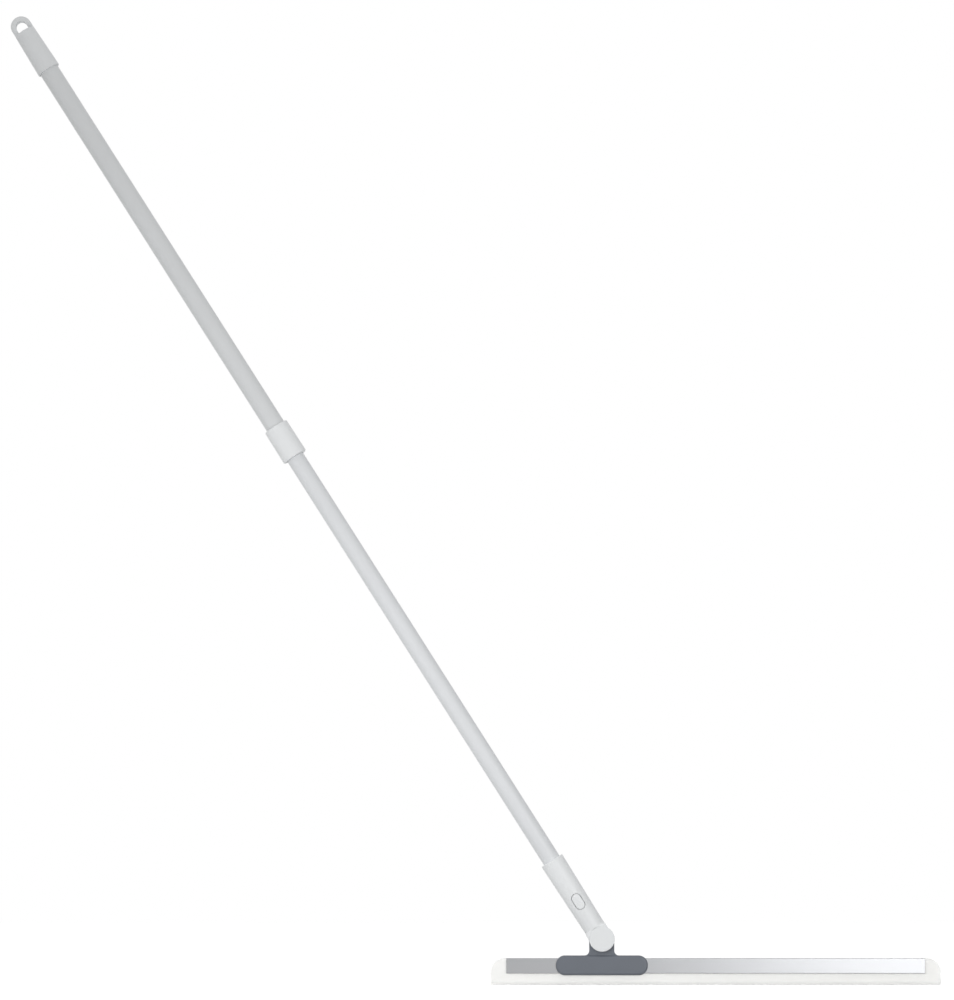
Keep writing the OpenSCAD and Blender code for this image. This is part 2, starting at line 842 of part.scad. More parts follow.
// Threaded sleeve on the tube's end, with slotted collet fingers round the lower tube
module collet_sleeve() {
    tip = collar_s0 + collar_edge_r * 2;
    shoulder = upper_s0 - seat_gap;
    finger_len = (shoulder - tip) * finger_share;
    bore = lower_r + run_gap;
    tube_bore = upper_r + seat_gap;
    top = collar_s1 - sleeve_recess;
    color(nylon)
        pole_frame()
            difference() {
                rotate_extrude()
                    polygon([
                        [bore, tip], [collet_tip_r, tip], [sleeve_r, shoulder], [sleeve_r, top],
                        [tube_bore, top], [tube_bore, shoulder], [bore, shoulder]
                    ]);
                for (i = [0:collet_slots - 1])
                    rotate([0, 0, 180 * i / collet_slots])
                        translate([-upper_d, -collet_slot / 2, tip - over])
                            cube([2 * upper_d, collet_slot, finger_len + over]);
            }
}

// Twist-lock collar: smooth outside, cone inside that closes the collet
module lock_collar() {
    cone_low = collar_edge_r * 2;
    color(white_plastic)
        pole_frame()
            translate([0, 0, collar_s0])
                rotate_extrude()
                    difference() {
                        intersection() {
                            soft_taper(collar_low_r, collar_top_r, collar_len, collar_nose_r,
                                min(collar_edge_r, collar_wall - seat_gap));
                            square([collar_low_r, collar_len]);
                        }
                        polygon([
                            [0, -over], [exit_r, -over], [exit_r, cone_low - cone_gap],
                            [collet_tip_r + cone_gap, cone_low - cone_gap],
                            [nut_bore_r + cone_gap, collar_tail], [nut_bore_r, collar_tail + over],
                            [nut_bore_r, collar_len + over], [0, collar_len + over]
                        ]);
                    }
}

// D-shaped outline of the hanging hole
module hole_outline() {
    half = hole_w / 2;
    translate([0, hole_top_s - half])
        circle(r = half);
    translate([-half, hole_s0 + hole_corner_r])
        square([hole_w, hole_h - half - hole_corner_r]);
    translate([-half + hole_corner_r, hole_s0])
        square([hole_w - 2 * hole_corner_r, hole_h - half]);
    for (x = [-1, 1])
        translate([x * (half - hole_corner_r), hole_s0 + hole_corner_r])
            circle(r = hole_corner_r);
}

// Flat hanging loop with soft edges: a round top on a bar that stands in the cap's body
module hanging_loop() {
    foot_s = hole_s0 - cap_roof / 2;
    translate([0, 0, loop_s])
        rotate([90, 0, 0])
            rotate_extrude()
                intersection() {
                    soft_rect(loop_w, loop_t, loop_edge_r);
                    translate([0, -loop_t])
                        square([loop_w, 2 * loop_t]);
                }
    translate([0, 0, foot_s])
        linear_extrude(height = loop_s - foot_s)
            soft_rect(loop_w, loop_t, loop_edge_r);
}

// End cap: tapered hollow body on the tube, spigot inside the tube, loop on the body's end
module end_cap() {
    body_len = hole_s0 - cap_s0;
    color(cap_plastic)
        pole_frame()
            difference() {
                union() {
                    translate([0, 0, cap_s0])
                        rotate_extrude()
                            intersection() {
                                soft_taper(rim_r, body_top_r, body_len, skirt_wall / 2, cap_edge_r);
                                square([rim_r, body_len]);
                            }
                    translate([0, 0, cap_s0 - spigot_len])
                        cylinder(r = upper_in_r - seat_gap, h = spigot_len + cap_grip);
                    hanging_loop();
                }
                ring(upper_r + seat_gap, upper_in_r - seat_gap, cap_s0 - over, upper_s1 + seat_gap);
                translate([0, 0, cap_s0 - spigot_len - over])
                    cylinder(r = cap_bore_r, h = spigot_len + body_len - cap_roof + over);
                along_y(4 * rim_r)
                    hole_outline();
            }
}

blade();
rail();
carriage();
glide_liners();
pivot_bush();
knuckle_socket();
front_cap();
rear_cap();
pivot_bolt();
pivot_nut();
spring_washer();
friction_washers();
lower_tube();
tube_plug();
plug_pin();
latch_button();
button_spring();
guide_plug();
upper_tube();
collet_sleeve();
lock_collar();
end_cap();
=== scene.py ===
"""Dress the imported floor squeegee: finishes, silicone blade, latch spring, studio and camera.

Every length is in metres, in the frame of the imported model: X runs along the blade, Y points to the
back, Z is up, and the origin is the middle of the blade's working edge.
"""
import json
import logging
import math
from dataclasses import dataclass
from enum import Enum

import bmesh
import bpy
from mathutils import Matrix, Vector

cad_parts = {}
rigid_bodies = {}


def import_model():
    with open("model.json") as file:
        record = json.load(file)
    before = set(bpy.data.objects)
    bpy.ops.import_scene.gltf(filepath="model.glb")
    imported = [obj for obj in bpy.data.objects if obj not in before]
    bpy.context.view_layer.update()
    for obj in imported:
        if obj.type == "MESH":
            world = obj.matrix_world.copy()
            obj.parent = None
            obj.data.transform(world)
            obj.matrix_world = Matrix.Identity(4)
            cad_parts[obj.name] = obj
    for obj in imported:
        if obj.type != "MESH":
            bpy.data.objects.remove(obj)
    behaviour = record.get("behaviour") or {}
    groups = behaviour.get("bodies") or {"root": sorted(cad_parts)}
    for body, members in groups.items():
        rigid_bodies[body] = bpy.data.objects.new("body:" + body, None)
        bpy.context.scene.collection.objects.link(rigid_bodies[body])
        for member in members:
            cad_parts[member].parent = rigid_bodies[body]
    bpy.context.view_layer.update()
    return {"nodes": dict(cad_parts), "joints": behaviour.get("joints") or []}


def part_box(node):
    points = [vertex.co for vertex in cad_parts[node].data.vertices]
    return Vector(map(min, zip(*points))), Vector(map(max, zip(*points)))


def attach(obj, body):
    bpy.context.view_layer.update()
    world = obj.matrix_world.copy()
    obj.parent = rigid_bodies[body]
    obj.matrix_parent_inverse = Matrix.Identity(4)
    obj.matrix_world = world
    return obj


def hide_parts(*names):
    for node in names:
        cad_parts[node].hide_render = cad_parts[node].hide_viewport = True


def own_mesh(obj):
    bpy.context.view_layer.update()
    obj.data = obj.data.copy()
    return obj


LOG = logging.getLogger("squeegee")
MM = 0.001
SMALLEST = 0.001 * MM
WHITE_LIGHT = (1.0, 1.0, 1.0, 1.0)

# A noise texture swings about this value.
NOISE_MIDDLE = 0.5

# Places of the colour sockets of a Mix node.
MIX_FACTOR = 0
MIX_LOW = 6
MIX_HIGH = 7
MIX_RESULT = 2

Colour = tuple[float, float, float, float]
Point2 = tuple[float, float]
Point3 = tuple[float, float, float]


def srgb(red: int, green: int, blue: int) -> Colour:
    """Turn a display colour into the linear colour that a shader takes.

    Args:
        red: red channel, 0 to 255.
        green: green channel, 0 to 255.
        blue: blue channel, 0 to 255.

    Returns:
        Linear red, green and blue with full alpha.
    """
    def channel(value: int) -> float:
        """Return one linear channel by the standard sRGB curve."""
        share = value / 255
        return share / 12.92 if share <= 0.04045 else ((share + 0.055) / 1.055) ** 2.4

    return channel(red), channel(green), channel(blue), 1.0


def grey(value: float) -> Colour:
    """Return a linear grey with full alpha."""
    return value, value, value, 1.0


def scaled(colour: Colour, share: float) -> Colour:
    """Return a colour made darker or lighter by a share."""
    return tuple(min(1.0, channel * share) for channel in colour[:3]) + (1.0,)


class Moulding(Enum):
    """Colours of the moulded plastics."""

    WHITE = srgb(228, 230, 231)
    CAP = srgb(222, 224, 225)
    SLATE = srgb(102, 107, 115)
    NATURAL = srgb(226, 223, 212)


class Graph:
    """Short way to add and link shader nodes in one tree."""

    def __init__(self, tree: bpy.types.NodeTree) -> None:
        """Keep the tree that nodes go into."""
        self.tree = tree

    def add(self, kind: str, **settings: object) -> bpy.types.Node:
        """Add one node.

        Args:
            kind: the node's type name.
            settings: attributes to set on the node.

        Returns:
            The new node.
        """
        node = self.tree.nodes.new(kind)
        for name, value in settings.items():
            setattr(node, name, value)
        return node

    def link(self, source: bpy.types.NodeSocket, target: bpy.types.NodeSocket) -> None:
        """Link an output to an input."""
        self.tree.links.new(source, target)

    def feed(self, value: bpy.types.NodeSocket | float | Colour,
             target: bpy.types.NodeSocket) -> None:
        """Give an input its value.

        Args:
            value: a socket to link, or a fixed number or colour.
            target: the input.
        """
        if isinstance(value, bpy.types.NodeSocket):
            self.link(value, target)
        else:
            target.default_value = value

    def math(self, operation: str, first: bpy.types.NodeSocket | float,
             second: bpy.types.NodeSocket | float) -> bpy.types.NodeSocket:
        """Add a math node.

        Args:
            operation: the node's operation.
            first: a socket or a number.
            second: a socket or a number.

        Returns:
            The node's output.
        """
        node = self.add("ShaderNodeMath", operation=operation)
        self.feed(first, node.inputs[0])
        self.feed(second, node.inputs[1])
        return node.outputs[0]

    def mix_colours(self, factor: bpy.types.NodeSocket, low: bpy.types.NodeSocket | Colour,
                    high: bpy.types.NodeSocket | Colour) -> bpy.types.NodeSocket:
        """Mix two colours by a value.

        Args:
            factor: value from 0 to 1.
            low: colour at 0.
            high: colour at 1.

        Returns:
            The mixed colour.
        """
        mix = self.add("ShaderNodeMix", data_type="RGBA")
        self.link(factor, mix.inputs[MIX_FACTOR])
        self.feed(low, mix.inputs[MIX_LOW])
        self.feed(high, mix.inputs[MIX_HIGH])
        return mix.outputs[MIX_RESULT]

    def combine(self, kind: str, *sources: bpy.types.NodeSocket) -> bpy.types.NodeSocket:
        """Add a node that combines shaders.

        Args:
            kind: the node's type name.
            sources: what its inputs take, in their order.

        Returns:
            The node's output.
        """
        node = self.add(kind)
        for source, target in zip(sources, node.inputs):
            self.link(source, target)
        return node.outputs[0]

    def place_group(self, group: bpy.types.NodeTree, **values: float) -> bpy.types.Node:
        """Place a shared effect with its own values.

        Args:
            group: the shared node group.
            values: input values by name.

        Returns:
            The group node.
        """
        node = self.add("ShaderNodeGroup", node_tree=group)
        for name, value in values.items():
            node.inputs[name].default_value = value
        return node


@dataclass
class SharedEffects:
    """Shader node groups that several finishes place with their own values.

    The shares say how much the fine and the broad noise move the roughness, and broad_scale is the
    broad noise's scale as a share of the fine one's.
    """

    fine_detail: float = 3.0
    broad_detail: float = 2.0
    broad_scale: float = 0.02
    fine_share: float = 0.4
    broad_share: float = 0.6
    # Samples, patch scale and gain of the painted edge mask, which paints highlights and dark
    # reflections along edges.
    painted_edge_samples: int = 4
    painted_edge_patches: float = 220.0
    painted_edge_gain: float = 4.0
    patina_detail: float = 4.0
    streak_detail: float = 4.0

    def __post_init__(self) -> None:
        """Build the groups once."""
        self.grain = self._grain()
        # The painted edge mask lays highlights or dark reflection lines along edges.
        self.painted_edge = self._painted_edge()
        self.patina = self._patina()
        self.streaks = self._streaks()

    @staticmethod
    def _new(name: str, inputs: dict[str, float], outputs: tuple[str, ...]) -> tuple[
            bpy.types.NodeTree, Graph, bpy.types.Node, bpy.types.Node]:
        """Start a group with named sockets.

        Args:
            name: the group's name.
            inputs: float inputs with their defaults.
            outputs: names of the float outputs.

        Returns:
            The group, its graph, its input node and its output node.
        """
        tree = bpy.data.node_groups.new(name, "ShaderNodeTree")
        for label, value in inputs.items():
            socket = tree.interface.new_socket(
                name=label, in_out="INPUT", socket_type="NodeSocketFloat")
            socket.default_value = value
        for label in outputs:
            tree.interface.new_socket(name=label, in_out="OUTPUT", socket_type="NodeSocketFloat")
        graph = Graph(tree)
        return tree, graph, graph.add("NodeGroupInput"), graph.add("NodeGroupOutput")

    @staticmethod
    def _noise(graph: Graph, detail: float | None = None) -> bpy.types.Node:
        """Add a noise texture in the object's own coordinates.

        Args:
            graph: the group's graph.
            detail: the noise's detail, where it isn't the usual one.

        Returns:
            The noise node.
        """
        place = graph.add("ShaderNodeTexCoord")
        noise = graph.add("ShaderNodeTexNoise")
        if detail is not None:
            noise.inputs["Detail"].default_value = detail
        graph.link(place.outputs["Object"], noise.inputs["Vector"])
        return noise

    def _grain(self) -> bpy.types.NodeTree:
        """Build the fine moulded or sprayed grain: a height, and a roughness that varies with it.

        Returns:
            The node group.
        """
        tree, graph, given, result = self._new(
            "fine_grain", {"Scale": 2500.0, "Roughness": 0.45, "Spread": 0.1},
            ("Height", "Roughness"))
        fine = self._noise(graph, self.fine_detail)
        broad = self._noise(graph, self.broad_detail)
        graph.link(given.outputs["Scale"], fine.inputs["Scale"])
        broad_scale = graph.math("MULTIPLY", given.outputs["Scale"], self.broad_scale)
        graph.link(broad_scale, broad.inputs["Scale"])
        both = graph.math("ADD", graph.math("MULTIPLY", fine.outputs["Fac"], self.fine_share),
                          graph.math("MULTIPLY", broad.outputs["Fac"], self.broad_share))
        about_zero = graph.math("SUBTRACT", both, NOISE_MIDDLE)
        swing = graph.math("MULTIPLY", about_zero, given.outputs["Spread"])
        graph.link(fine.outputs["Fac"], result.inputs["Height"])
        graph.link(graph.math("ADD", given.outputs["Roughness"], swing), result.inputs["Roughness"])
        return tree

    def _painted_edge(self) -> bpy.types.NodeTree:
        """Build the painted edge mask: 1 along edges, broken up by noise; plastics paint a highlight
        and metals a dark reflection where it is 1.

        Returns:
            The node group.
        """
        tree, graph, given, result = self._new(
            "painted_edge_light", {"Radius": 0.6 * MM, "Amount": 0.5}, ("Mask",))
        soft = graph.add("ShaderNodeBevel", samples=self.painted_edge_samples)
        graph.link(given.outputs["Radius"], soft.inputs["Radius"])
        flat = graph.add("ShaderNodeNewGeometry")
        turn = graph.add("ShaderNodeVectorMath", operation="DOT_PRODUCT")
        graph.link(soft.outputs["Normal"], turn.inputs[0])
        graph.link(flat.outputs["Normal"], turn.inputs[1])
        edge = graph.math("SUBTRACT", 1.0, turn.outputs["Value"])
        patches = self._noise(graph)
        patches.inputs["Scale"].default_value = self.painted_edge_patches
        share = graph.math("MULTIPLY", patches.outputs["Fac"], given.outputs["Amount"])
        raised = graph.math("MULTIPLY", graph.math("MULTIPLY", edge, share), self.painted_edge_gain)
        graph.link(graph.math("MINIMUM", raised, 1.0), result.inputs["Mask"])
        return tree

    def _patina(self) -> bpy.types.NodeTree:
        """Build the slow tone change of handled surfaces, from 0 to 1.

        Returns:
            The node group.
        """
        tree, graph, given, result = self._new("patina", {"Scale": 18.0}, ("Tone",))
        cloud = self._noise(graph, self.patina_detail)
        graph.link(given.outputs["Scale"], cloud.inputs["Scale"])
        graph.link(cloud.outputs["Fac"], result.inputs["Tone"])
        return tree

    def _streaks(self) -> bpy.types.NodeTree:
        """Build drawn lines along X: long thin noise, from 0 to 1.

        Returns:
            The node group.
        """
        tree, graph, given, result = self._new(
            "drawn_streaks", {"Along": 6.0, "Across": 5200.0}, ("Streak",))
        place = graph.add("ShaderNodeTexCoord")
        spread = graph.add("ShaderNodeCombineXYZ")
        for label, axis in (("Along", 0), ("Across", 1), ("Across", 2)):
            graph.link(given.outputs[label], spread.inputs[axis])
        stretch = graph.add("ShaderNodeVectorMath", operation="MULTIPLY")
        graph.link(place.outputs["Object"], stretch.inputs[0])
        graph.link(spread.outputs[0], stretch.inputs[1])
        line = graph.add("ShaderNodeTexNoise")
        line.inputs["Scale"].default_value = 1.0
        line.inputs["Detail"].default_value = self.streak_detail
        graph.link(stretch.outputs[0], line.inputs["Vector"])
        graph.link(line.outputs["Fac"], result.inputs["Streak"])
        return tree


def new_material(name: str) -> tuple[bpy.types.Material, Graph, bpy.types.Node]:
    """Start a node material.

    Args:
        name: the material's name.

    Returns:
        The material, its graph and its Principled shader.
    """
    material = bpy.data.materials.new(name)
    material.use_nodes = True
    graph = Graph(material.node_tree)
    return material, graph, material.node_tree.nodes["Principled BSDF"]


def soften(graph: Graph, shader: bpy.types.Node, height: bpy.types.NodeSocket,
           depth: float, edge_radius: float, samples: int = 6) -> None:
    """Give a shader a bump, over edges that catch light as rounded ones do.

    Args:
        graph: the material's graph.
        shader: the Principled shader.
        height: the bump's height, 0 to 1.
        depth: the bump's depth.
        edge_radius: radius of the rounded edges.
        samples: rays that the rounding takes.
    """
    bevel = graph.add("ShaderNodeBevel", samples=samples)
    bevel.inputs["Radius"].default_value = edge_radius
    bump = graph.add("ShaderNodeBump")
    bump.inputs["Strength"].default_value = 1.0
    bump.inputs["Distance"].default_value = depth
    graph.link(height, bump.inputs["Height"])
    graph.link(bevel.outputs["Normal"], bump.inputs["Normal"])
    graph.link(bump.outputs["Normal"], shader.inputs["Normal"])


@dataclass(frozen=True)
class GrainedFinish:
    """What plastics, coated tubes and silicone share: a fine grain over a slow tone change.

    Scales are in cells per metre, tones are shares of the colour, and grain_spread is how far the
    roughness swings.
    """

    name: str
    colour: Colour
    roughness: float
    grain_scale: float
    grain_spread: float
    grain_depth: float
    patina_scale: float
    dark_tone: float
    light_tone: float
    edge_radius: float
    specular: float

    def start(self, effects: SharedEffects) -> tuple[
            bpy.types.Material, Graph, bpy.types.Node, bpy.types.NodeSocket]:
        """Start the material with its colour, roughness, grain and soft edges.

        Args:
            effects: the shared node groups.

        Returns:
            The material, its graph, its Principled shader and its body colour.
        """
        material, graph, shader = new_material(self.name)
        grain = graph.place_group(effects.grain, Scale=self.grain_scale, Roughness=self.roughness,
                                  Spread=self.grain_spread)
        patina = graph.place_group(effects.patina, Scale=self.patina_scale)
        body = graph.mix_colours(patina.outputs["Tone"], scaled(self.colour, self.dark_tone),
                                 scaled(self.colour, self.light_tone))
        graph.link(body, shader.inputs["Base Color"])
        graph.link(grain.outputs["Roughness"], shader.inputs["Roughness"])
        shader.inputs["Specular IOR Level"].default_value = self.specular
        soften(graph, shader, grain.outputs["Height"], self.grain_depth, self.edge_radius)
        return material, graph, shader, body


@dataclass(frozen=True)
class SatinPlastic(GrainedFinish):
    """Moulded plastic with a fine spark-eroded grain and a painted highlight along its edges."""

    roughness: float = 0.46
    grain_scale: float = 2600.0
    grain_spread: float = 0.14
    grain_depth: float = 0.02 * MM
    patina_scale: float = 22.0
    dark_tone: float = 0.97
    light_tone: float = 1.03
    edge_radius: float = 0.4 * MM
    specular: float = 0.4
    # Strength and lightening of the painted edge highlight.
    painted_edge: float = 0.5
    painted_edge_tone: float = 1.12

    def build(self, effects: SharedEffects) -> bpy.types.Material:
        """Build the material.

        Args:
            effects: the shared node groups.

        Returns:
            The material.
        """
        material, graph, shader, body = self.start(effects)
        # Painted highlight: the edge mask lightens the colour along edges.
        painted_edge = graph.place_group(effects.painted_edge, Radius=2 * self.edge_radius, Amount=self.painted_edge)
        painted_edge_colour = graph.mix_colours(painted_edge.outputs["Mask"], body, scaled(self.colour, self.painted_edge_tone))
        graph.link(painted_edge_colour, shader.inputs["Base Color"])
        return material


@dataclass(frozen=True)
class CoatedTube(GrainedFinish):
    """Steel tube with a satin powder coat: faint orange peel and a slow tone change."""

    roughness: float = 0.38
    grain_scale: float = 900.0
    grain_spread: float = 0.1
    grain_depth: float = 0.03 * MM
    patina_scale: float = 9.0
    dark_tone: float = 0.975
    light_tone: float = 1.02
    edge_radius: float = 0.2 * MM
    specular: float = 0.45

    def build(self, effects: SharedEffects) -> bpy.types.Material:
        """Build the material."""
        return self.start(effects)[0]


@dataclass(frozen=True)
class Silicone(GrainedFinish):
    """Milky silicone rubber that lets some light through."""

    roughness: float = 0.42
    grain_scale: float = 1500.0
    grain_spread: float = 0.16
    grain_depth: float = 0.012 * MM
    patina_scale: float = 30.0
    dark_tone: float = 0.985
    light_tone: float = 1.01
    edge_radius: float = 0.2 * MM
    specular: float = 0.35
    transmission: float = 0.75
    refraction: float = 1.41

    def build(self, effects: SharedEffects) -> bpy.types.Material:
        """Build the material.

        Args:
            effects: the shared node groups.

        Returns:
            The material.
        """
        material, _, shader, _ = self.start(effects)
        shader.inputs["IOR"].default_value = self.refraction
        shader.inputs["Transmission Weight"].default_value = self.transmission
        return material


@dataclass(frozen=True)
class BrushedMetal:
    """Metal with lines drawn along X and a painted dark reflection along its edges."""

    name: str
    colour: Colour
    roughness: float = 0.34
    roughness_swing: float = 0.16
    anisotropy: float = 0.4
    lines_along: float = 6.0
    lines_across: float = 5200.0
    line_depth: float = 0.01 * MM
    line_tone: float = 0.07
    edge_radius: float = 0.3 * MM
    # Radius, strength and darkening of the painted dark reflection along edges.
    painted_edge_radius: float = 0.8 * MM
    painted_edge: float = 3.0
    painted_edge_tone: float = 0.6

    def build(self, effects: SharedEffects) -> bpy.types.Material:
        """Build the material.

        Args:
            effects: the shared node groups.

        Returns:
            The material.
        """
        material, graph, shader = new_material(self.name)
        lines = graph.place_group(effects.streaks, Along=self.lines_along, Across=self.lines_across)
        streak = lines.outputs["Streak"]
        # Painted reflection: the edge mask darkens the colour along edges, standing in for dark
        # reflections.
        painted_edge = graph.place_group(effects.painted_edge, Radius=self.painted_edge_radius, Amount=self.painted_edge)
        body = graph.mix_colours(streak, scaled(self.colour, 1 - self.line_tone),
                                 scaled(self.colour, 1 + self.line_tone))
        painted_edge_colour = graph.mix_colours(painted_edge.outputs["Mask"], body, scaled(self.colour, self.painted_edge_tone))
        graph.link(painted_edge_colour, shader.inputs["Base Color"])
        about_zero = graph.math("SUBTRACT", streak, NOISE_MIDDLE)
        swing = graph.math("MULTIPLY", about_zero, self.roughness_swing)
        graph.link(graph.math("ADD", swing, self.roughness), shader.inputs["Roughness"])
        shader.inputs["Metallic"].default_value = 1.0
        shader.inputs["Anisotropic"].default_value = self.anisotropy
        tangent = graph.add("ShaderNodeTangent", direction_type="RADIAL", axis="X")
        graph.link(tangent.outputs["Tangent"], shader.inputs["Tangent"])
        soften(graph, shader, streak, self.line_depth, self.edge_radius)
        return material


class Finishes:
    """All finishes of the squeegee, built once."""

    def __init__(self, effects: SharedEffects) -> None:
        """Build every material.

        Args:
            effects: the shared node groups.
        """
        self.white = SatinPlastic("white_moulding", Moulding.WHITE.value).build(effects)
        self.cap = SatinPlastic("cap_moulding", Moulding.CAP.value).build(effects)
        # The slate moulding gets a stronger painted edge highlight.
        self.slate = SatinPlastic(
            "slate_moulding", Moulding.SLATE.value, roughness=0.42, dark_tone=0.95, light_tone=1.05,
            edge_radius=0.6 * MM, painted_edge=0.8).build(effects)
        self.natural = SatinPlastic(
            "natural_nylon", Moulding.NATURAL.value, roughness=0.5).build(effects)
        self.lower_tube = CoatedTube("lower_tube_coat", srgb(217, 219, 221)).build(effects)
        self.upper_tube = CoatedTube("upper_tube_coat", srgb(213, 215, 216)).build(effects)
        self.rail = BrushedMetal("rail_aluminium", srgb(163, 164, 166)).build(effects)
        self.steel = BrushedMetal("bright_steel", srgb(190, 192, 195), roughness=0.28).build(effects)
        self.silicone = Silicone("milky_silicone", srgb(249, 249, 247)).build(effects)


def new_piece(name: str, mesh: bmesh.types.BMesh, material: bpy.types.Material) -> bpy.types.Object:
    """Turn a finished mesh into an object of the scene.

    Args:
        name: the object's name.
        mesh: the mesh, which is freed.
        material: its finish.

    Returns:
        The new object.
    """
    data = bpy.data.meshes.new(name)
    mesh.to_mesh(data)
    mesh.free()
    data.materials.append(material)
    piece = bpy.data.objects.new(name, data)
    bpy.context.scene.collection.objects.link(piece)
    return piece


@dataclass
class Blade:
    """Silicone blade: a strip with a bevelled lip, end lobes of full height and a bead in the rail.

    The steps are how many spans a straight stretch is cut into, or degrees for a round corner, and
    place_digits tells two places along the blade apart.
    """

    length: float
    height: float
    rail_half: float
    rail_z0: float
    thickness: float = 4.0 * MM
    edge: float = 1.6 * MM
    bevel: float = 3.4 * MM
    corner: float = 15.0 * MM
    foot_corner: float = 1.6 * MM
    round_over: float = 0.5 * MM
    lip_round: float = 0.15 * MM
    end_inset: float = 0.25 * MM
    rail_wall: float = 1.5 * MM
    bead: float = 0.85 * MM
    gap: float = 0.06 * MM
    section_steps: int = 4
    length_steps: int = 60
    crown_step: int = 30
    corner_step: int = 6
    foot_step: int = 18
    place_digits: int = 7
    sharp_angle: float = math.radians(32)

    @classmethod
    def from_frame(cls) -> "Blade":
        """Read the blade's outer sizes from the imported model.

        Returns:
            The blade.
        """
        low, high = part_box("blade")
        rail_low, rail_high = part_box("rail")
        return cls(high.x - low.x, high.z, rail_high.x, rail_low.z)

    def top_at(self, x: float) -> float:
        """Find the height of the blade's top edge: lower inside the rail, round at the lobes.

        Args:
            x: place along the blade.

        Returns:
            Height of the top edge.
        """
        reach = abs(x)
        if reach < self.rail_half + self.gap / 2:
            return self.height - self.rail_wall - self.gap
        past = reach - (self.length / 2 - self.corner)
        if past <= 0:
            return self.height
        return self.height - self.corner + math.sqrt(max(0.0, self.corner ** 2 - past ** 2))

    def foot_at(self, x: float) -> float:
        """Find how far the working edge rises at the blade's lower corners.

        Args:
            x: place along the blade.

        Returns:
            Height of the lower edge.
        """
        past = abs(x) - (self.length / 2 - self.foot_corner)
        if past <= 0:
            return 0.0
        return self.foot_corner - math.sqrt(max(0.0, self.foot_corner ** 2 - past ** 2))

    def half_section(self, x: float) -> list[Point2]:
        """Lay out the front half of the section at a place, from the foot to the top.

        Args:
            x: place along the blade.

        Returns:
            Half thickness and height of each point.
        """
        half, edge, turn = self.thickness / 2, self.edge / 2, self.round_over
        foot, top = self.foot_at(x), self.top_at(x)
        inside = abs(x) < self.rail_half - self.rail_wall
        bead = half + self.bead if inside else half
        bead_z = self.rail_z0 + self.rail_wall + self.gap
        shares = [step / self.section_steps for step in range(1, self.section_steps)]
        angles = [math.radians(angle) for angle in range(0, 91, self.crown_step)]
        lip = [(edge - self.lip_round, foot), (edge, foot + self.lip_round)]
        slope = [(edge + (half - edge) * share, foot + (self.bevel - foot) * share)
                 for share in shares]
        knee = [(half, self.bevel), (half, self.bevel + turn)]
        wall = [(half, self.bevel + (bead_z - self.bevel) * share) for share in shares]
        neck = [(half, bead_z - self.gap), (bead, bead_z)]
        rise = [(bead, bead_z + (top - turn - bead_z) * share) for share in shares]
        crown = [(bead - turn * (1 - math.cos(angle)), top - turn * (1 - math.sin(angle)))
                 for angle in angles]
        return lip + slope + knee + wall + neck + rise + crown

    def stations(self) -> list[float]:
        """Choose the places along the blade where a section is made.

        Returns:
            Places from left to right.
        """
        half, mouth = self.length / 2, self.rail_half - self.rail_wall
        plain = [self.rail_half * step / self.length_steps for step in range(self.length_steps)]
        near = [mouth - self.gap, mouth, self.rail_half, self.rail_half + self.gap]
        arc = [half - self.corner * (1 - math.sin(math.radians(angle)))
               for angle in range(0, 90, self.corner_step)]
        foot = [half - self.foot_corner * (1 - math.sin(math.radians(angle)))
                for angle in range(0, 90, self.foot_step)]
        ends = [half - self.lip_round, half]
        places = plain + near + arc + foot + ends
        right = sorted({round(place, self.place_digits) for place in places})
        return [-place for place in reversed(right) if place > 0] + right

    def build(self, finishes: Finishes) -> bpy.types.Object:
        """Loft the sections into one closed mesh.

        Args:
            finishes: the finishes.

        Returns:
            The blade's object.
        """
        mesh = bmesh.new()
        rings = []
        for x in self.stations():
            inset = 0.0 if abs(x) < self.length / 2 - SMALLEST else self.end_inset
            side = [(max(y - inset, y / 2), z) for y, z in self.half_section(x)]
            loop = [(-y, z) for y, z in side] + [(y, z) for y, z in reversed(side)]
            rings.append([mesh.verts.new((x, y, z)) for y, z in loop])
        count = len(rings[0])
        for left, right in zip(rings, rings[1:]):
            for k in range(count):
                after = (k + 1) % count
                mesh.faces.new((left[k], left[after], right[after], right[k]))
        for ring in (rings[0], rings[-1]):
            for k in range(count // 2 - 1):
                mesh.faces.new((ring[k], ring[count - 1 - k], ring[count - 2 - k], ring[k + 1]))
        bmesh.ops.recalc_face_normals(mesh, faces=mesh.faces)
        for face in mesh.faces:
            face.smooth = True
        piece = new_piece("silicone_blade", mesh, finishes.silicone)
        piece.data.set_sharp_from_angle(angle=self.sharp_angle)
        return piece

    def fit(self, finishes: Finishes) -> None:
        """Build the blade and hang it on the head.

        Args:
            finishes: the finishes.
        """
        piece = self.build(finishes)
        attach(piece, "head")
        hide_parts("blade")
        LOG.info("built %s with %d faces", piece.name, len(piece.data.polygons))


